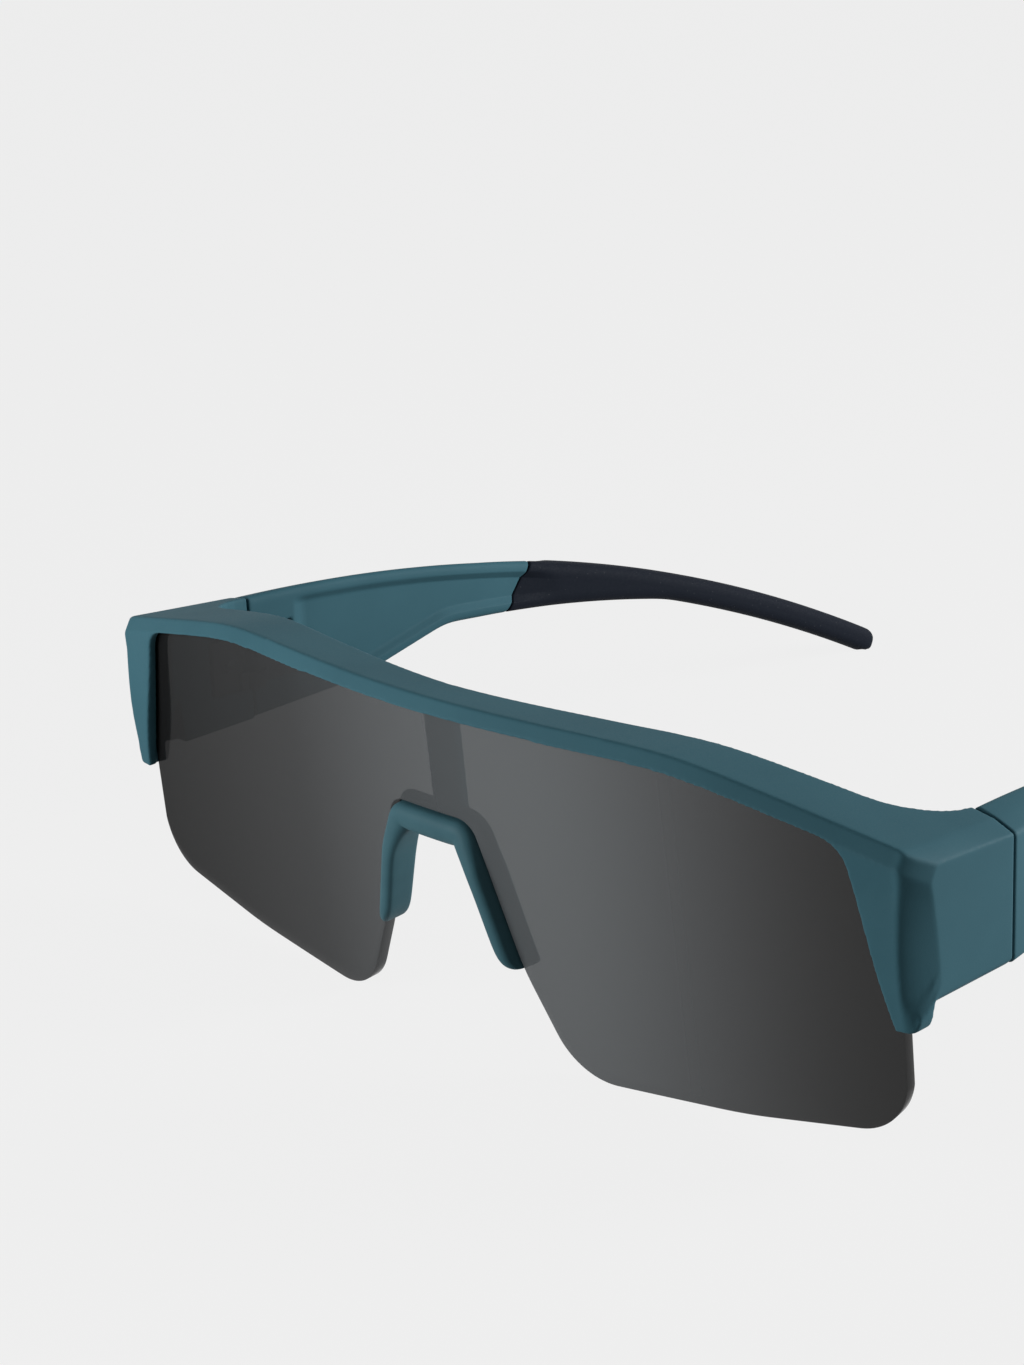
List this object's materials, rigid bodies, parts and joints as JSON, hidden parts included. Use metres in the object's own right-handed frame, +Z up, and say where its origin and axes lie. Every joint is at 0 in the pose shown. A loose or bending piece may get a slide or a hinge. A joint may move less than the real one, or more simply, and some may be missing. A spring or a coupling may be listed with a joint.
{
  "type": "fit-over sunglasses",
  "caption": "Fit-over sunglasses: a tinted shield lens hung under a brow frame, with a soft nose piece and two folding temples with rubber tips.",
  "frame": {"origin": "on the table, midway between the two sides and midway between the brow's front and the temple tips' ends", "axes": "+Z up; +Y from the brow back towards the temple tips; +X towards the wearer's left side"},
  "size_m": [0.15, 0.1734, 0.0518],
  "materials": {
    "frame_teal": "soft-touch satin paint over nylon",
    "smoke_lens": "smoke-tinted polycarbonate, polished",
    "nose_silicone": "matt silicone in the frame's colour",
    "tip_rubber": "matt dark rubber",
    "hinge_steel": "satin stainless steel"
  },
  "bodies": {
    "front": {"front_frame": "frame_teal", "shield_lens": "smoke_lens", "nose_piece": "nose_silicone", "left_front_leaf": "hinge_steel", "right_front_leaf": "hinge_steel", "left_front_leaf_screw": "hinge_steel", "right_front_leaf_screw": "hinge_steel", "left_hinge_screw": "hinge_steel", "right_hinge_screw": "hinge_steel"},
    "left_arm": {"left_temple": "frame_teal", "left_temple_tip": "tip_rubber", "left_tip_core": "hinge_steel", "left_temple_leaf": "hinge_steel", "left_temple_leaf_screw": "hinge_steel"},
    "right_arm": {"right_temple": "frame_teal", "right_temple_tip": "tip_rubber", "right_tip_core": "hinge_steel", "right_temple_leaf": "hinge_steel", "right_temple_leaf_screw": "hinge_steel"}
  },
  "joints": [
    {"name": "left_temple_fold", "type": "hinge", "parent": "front", "child": "left_arm", "pos_m": [0.0676, -0.0556, 0.0339], "axis": [0, 0, 1], "range_deg": [0, 90]},
    {"name": "right_temple_fold", "type": "hinge", "parent": "front", "child": "right_arm", "pos_m": [-0.0676, -0.0556, 0.0339], "axis": [0, 0, -1], "range_deg": [0, 84]}
  ]
}
